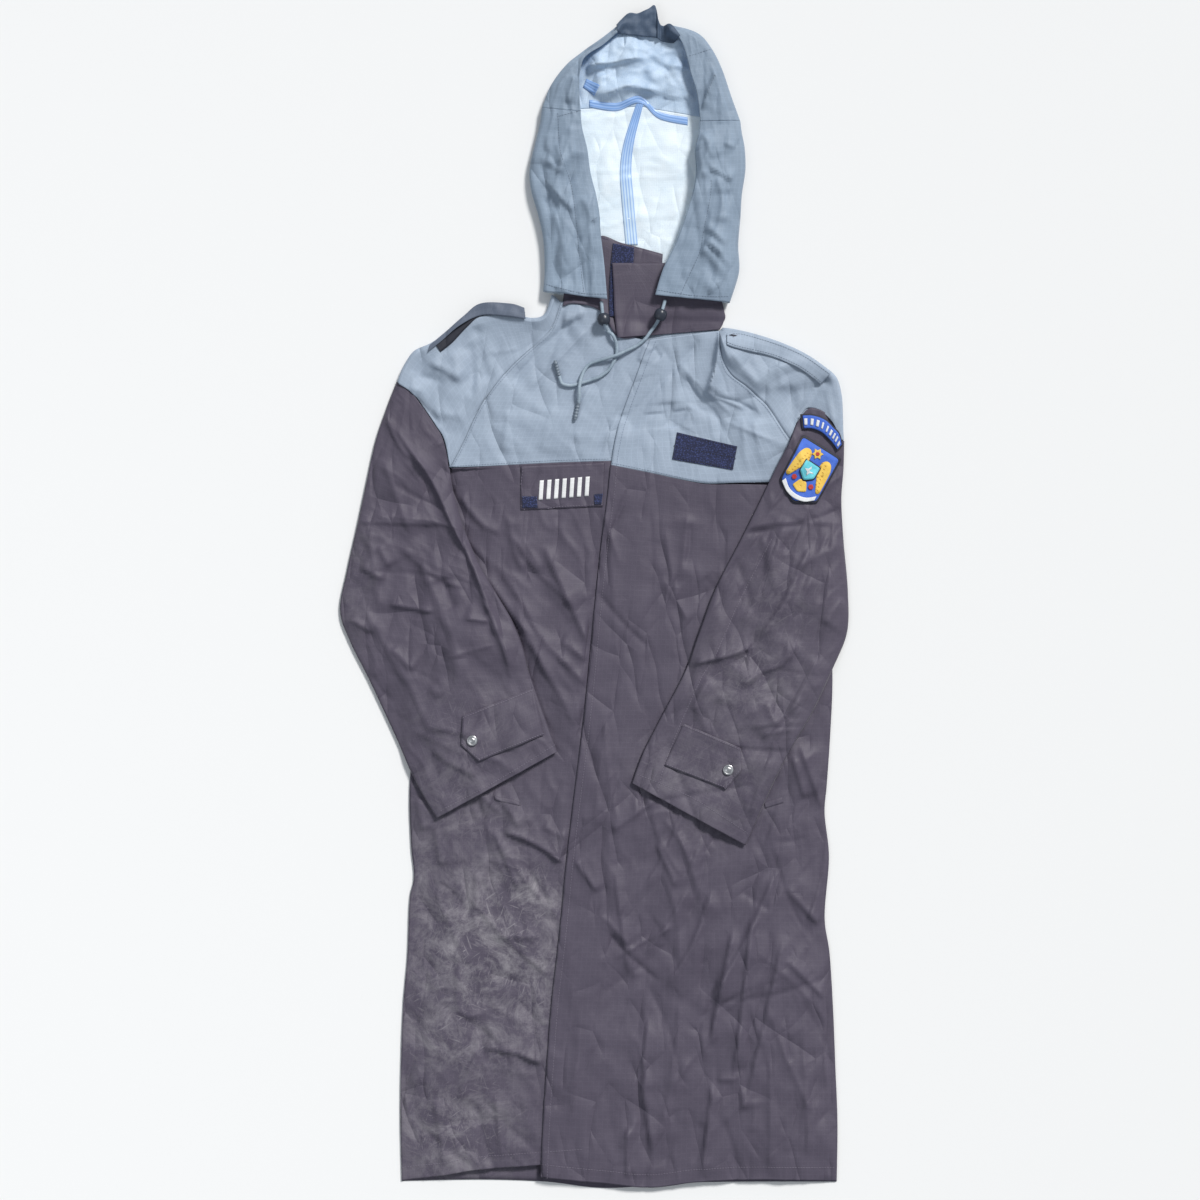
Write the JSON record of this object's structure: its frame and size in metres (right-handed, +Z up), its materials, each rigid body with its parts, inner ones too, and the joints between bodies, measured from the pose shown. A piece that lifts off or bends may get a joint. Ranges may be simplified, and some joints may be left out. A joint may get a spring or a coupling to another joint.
{
  "type": "hooded police raincoat laid flat",
  "caption": "Long hooded raincoat in two colours with raglan sleeves, cuff tabs and a drawn hood, laid flat on its back with its sleeves over its fronts.",
  "frame": {"origin": "on the surface that the coat lies on, under the middle of its whole outline", "axes": "+Z up out of the surface, +Y from the hem towards the hood, +X to the right of someone who looks down on the coat"},
  "size_m": [0.7136, 1.6565, 0.0327],
  "materials": {
    "dark_cloth": "coated nylon in dark purple grey, satin, with a fine ripstop weave",
    "blue_cloth": "coated nylon in grey blue, satin; the inside of the hood is white",
    "navy_cloth": "coated nylon in navy, satin",
    "seam_tape": "pale blue heat-sealed seam tape, smooth",
    "cord": "braided polyester cord in grey blue, matt",
    "hook_tape": "navy hook-and-loop tape, rough",
    "reflective_white": "white reflective print, smooth",
    "badge_cloth": "blue embroidery with a black border",
    "snap_steel": "nickel-plated snap cap, polished",
    "dark_plastic": "dark slate bead, glossy"
  },
  "bodies": {
    "root": {"back": "dark_cloth", "front_left": "dark_cloth", "front_right": "dark_cloth", "sleeve_left": "dark_cloth", "sleeve_right": "dark_cloth", "collar_back": "dark_cloth", "collar_under": "dark_cloth", "collar_over": "dark_cloth", "chest_flap": "dark_cloth", "cuff_tab_left": "dark_cloth", "cuff_tab_right": "dark_cloth", "pocket_welt_left": "dark_cloth", "pocket_welt_right": "dark_cloth", "yoke_left": "blue_cloth", "yoke_right": "blue_cloth", "yoke_back": "blue_cloth", "cap_left": "blue_cloth", "cap_right": "blue_cloth", "epaulette_left": "blue_cloth", "epaulette_right": "blue_cloth", "hood_left": "blue_cloth", "hood_right": "blue_cloth", "hood_crown": "blue_cloth", "hood_brim": "navy_cloth", "hood_tape_centre": "seam_tape", "hood_tape_crown": "seam_tape", "drawcord_left": "cord", "drawcord_right": "cord", "cord_bead_left": "dark_plastic", "cord_bead_right": "dark_plastic", "cord_tip_left": "cord", "cord_tip_right": "cord", "collar_hook": "hook_tape", "flap_hook_left": "hook_tape", "flap_hook_right": "hook_tape", "chest_hook": "hook_tape", "flap_stripe": "reflective_white", "badge_shield": "badge_cloth", "badge_arc": "badge_cloth", "cuff_snap_left": "snap_steel", "cuff_snap_right": "snap_steel"}
  },
  "joints": []
}
